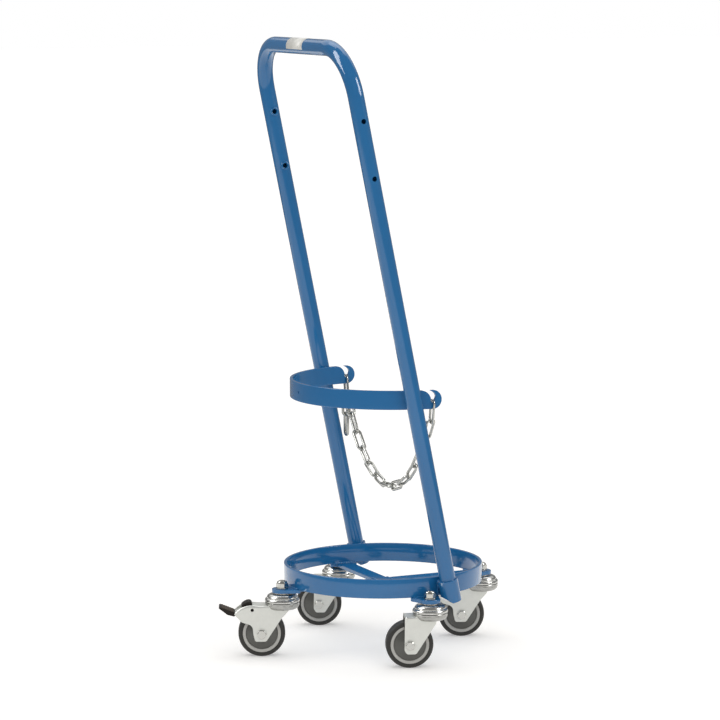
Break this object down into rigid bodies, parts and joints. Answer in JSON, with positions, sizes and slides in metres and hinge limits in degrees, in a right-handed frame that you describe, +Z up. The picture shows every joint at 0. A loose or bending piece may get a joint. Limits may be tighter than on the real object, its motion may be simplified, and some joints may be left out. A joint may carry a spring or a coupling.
{
  "type": "gas cylinder trolley",
  "caption": "Painted ring-base trolley that holds a gas cylinder upright on swivel casters, with a leaning bent-tube push handle, a hooked retaining band and a safety chain.",
  "frame": {"origin": "middle of the footprint on the floor", "axes": "+Z up, +Y to the open side where the cylinder is loaded, +X to the right seen from the handle"},
  "size_m": [0.4213, 0.4816, 0.9817],
  "materials": {
    "blue_paint": "gloss powder coat",
    "zinc_plate": "satin zinc plate",
    "bright_zinc": "bright zinc plate",
    "bearing_steel": "ground",
    "grey_tread": "matt rubber",
    "core_plastic": "moulded",
    "guard_plastic": "moulded",
    "pedal_plastic": "moulded",
    "label_film": "blank printed film"
  },
  "bodies": {
    "frame": {"base_ring": "blue_paint", "cross_bar_side": "blue_paint", "cross_bar_front": "blue_paint", "cross_bar_rear": "blue_paint", "sleeve_left": "blue_paint", "sleeve_right": "blue_paint", "handle_tube": "blue_paint", "blank_label": "label_film", "retaining_band": "blue_paint", "caster_bolts": "zinc_plate", "caster_washers": "zinc_plate", "lock_nuts": "zinc_plate", "race_balls": "bearing_steel", "swivel_head_rear": "bright_zinc", "swivel_head_right": "bright_zinc", "swivel_head_front": "bright_zinc", "swivel_head_left": "bright_zinc"},
    "caster_rear": {"fork_rear": "zinc_plate", "axle_rear": "zinc_plate", "wheel_bush_rear": "bearing_steel", "thread_guards_rear": "guard_plastic", "brake_pin_rear": "zinc_plate"},
    "wheel_rear": {"wheel_core_rear": "core_plastic", "tyre_rear": "grey_tread"},
    "brake_rear": {"brake_lever_rear": "zinc_plate", "brake_pedal_rear": "pedal_plastic", "release_pad_rear": "pedal_plastic"},
    "caster_right": {"fork_right": "zinc_plate", "axle_right": "zinc_plate", "wheel_bush_right": "bearing_steel", "thread_guards_right": "guard_plastic"},
    "wheel_right": {"wheel_core_right": "core_plastic", "tyre_right": "grey_tread"},
    "caster_front": {"fork_front": "zinc_plate", "axle_front": "zinc_plate", "wheel_bush_front": "bearing_steel", "thread_guards_front": "guard_plastic", "brake_pin_front": "zinc_plate"},
    "wheel_front": {"wheel_core_front": "core_plastic", "tyre_front": "grey_tread"},
    "brake_front": {"brake_lever_front": "zinc_plate", "brake_pedal_front": "pedal_plastic", "release_pad_front": "pedal_plastic"},
    "caster_left": {"fork_left": "zinc_plate", "axle_left": "zinc_plate", "wheel_bush_left": "bearing_steel", "thread_guards_left": "guard_plastic"},
    "wheel_left": {"wheel_core_left": "core_plastic", "tyre_left": "grey_tread"},
    "chain": {"safety_chain": "bright_zinc"},
    "tail": {"chain_tail": "bright_zinc"}
  },
  "joints": [
    {"name": "swivel_rear", "type": "hinge", "parent": "frame", "child": "caster_rear", "pos_m": [0.0056, -0.1412, 0.088], "axis": [0, 0, 1], "continuous": true},
    {"name": "roll_rear", "type": "hinge", "parent": "caster_rear", "child": "wheel_rear", "pos_m": [-0.00698, -0.17171, 0.0375], "axis": [0.9245, -0.3811, 0], "continuous": true},
    {"name": "brake_rear", "type": "hinge", "parent": "caster_rear", "child": "brake_rear", "pos_m": [-0.01269, -0.18558, 0.0765], "axis": [0.9245, -0.3811, 0], "range_deg": [0, 8]},
    {"name": "swivel_right", "type": "hinge", "parent": "frame", "child": "caster_right", "pos_m": [0.1826, 0.0358, 0.088], "axis": [0, 0, 1], "continuous": true},
    {"name": "roll_right", "type": "hinge", "parent": "caster_right", "child": "wheel_right", "pos_m": [0.17131, 0.00479, 0.0375], "axis": [0.9397, -0.342, 0], "continuous": true},
    {"name": "swivel_front", "type": "hinge", "parent": "frame", "child": "caster_front", "pos_m": [0.0056, 0.2128, 0.088], "axis": [0, 0, 1], "continuous": true},
    {"name": "roll_front", "type": "hinge", "parent": "caster_front", "child": "wheel_front", "pos_m": [-0.00676, 0.1822, 0.0375], "axis": [0.9272, -0.3746, 0], "continuous": true},
    {"name": "brake_front", "type": "hinge", "parent": "caster_front", "child": "brake_front", "pos_m": [-0.01238, 0.1683, 0.0765], "axis": [0.9272, -0.3746, 0], "range_deg": [0, 8]},
    {"name": "swivel_left", "type": "hinge", "parent": "frame", "child": "caster_left", "pos_m": [-0.1714, 0.0358, 0.088], "axis": [0, 0, 1], "continuous": true},
    {"name": "roll_left", "type": "hinge", "parent": "caster_left", "child": "wheel_left", "pos_m": [-0.18456, 0.00554, 0.0375], "axis": [0.9171, -0.3987, 0], "continuous": true},
    {"name": "chain_swing", "type": "hinge", "parent": "frame", "child": "chain", "pos_m": [0.0056, 0.0458, 0.4207], "axis": [1, 0, 0], "range_deg": [0, 45]},
    {"name": "tail_swing", "type": "hinge", "parent": "chain", "child": "tail", "pos_m": [0.0056, 0.0458, 0.38503], "axis": [1, 0, 0], "range_deg": [0, 40]}
  ]
}
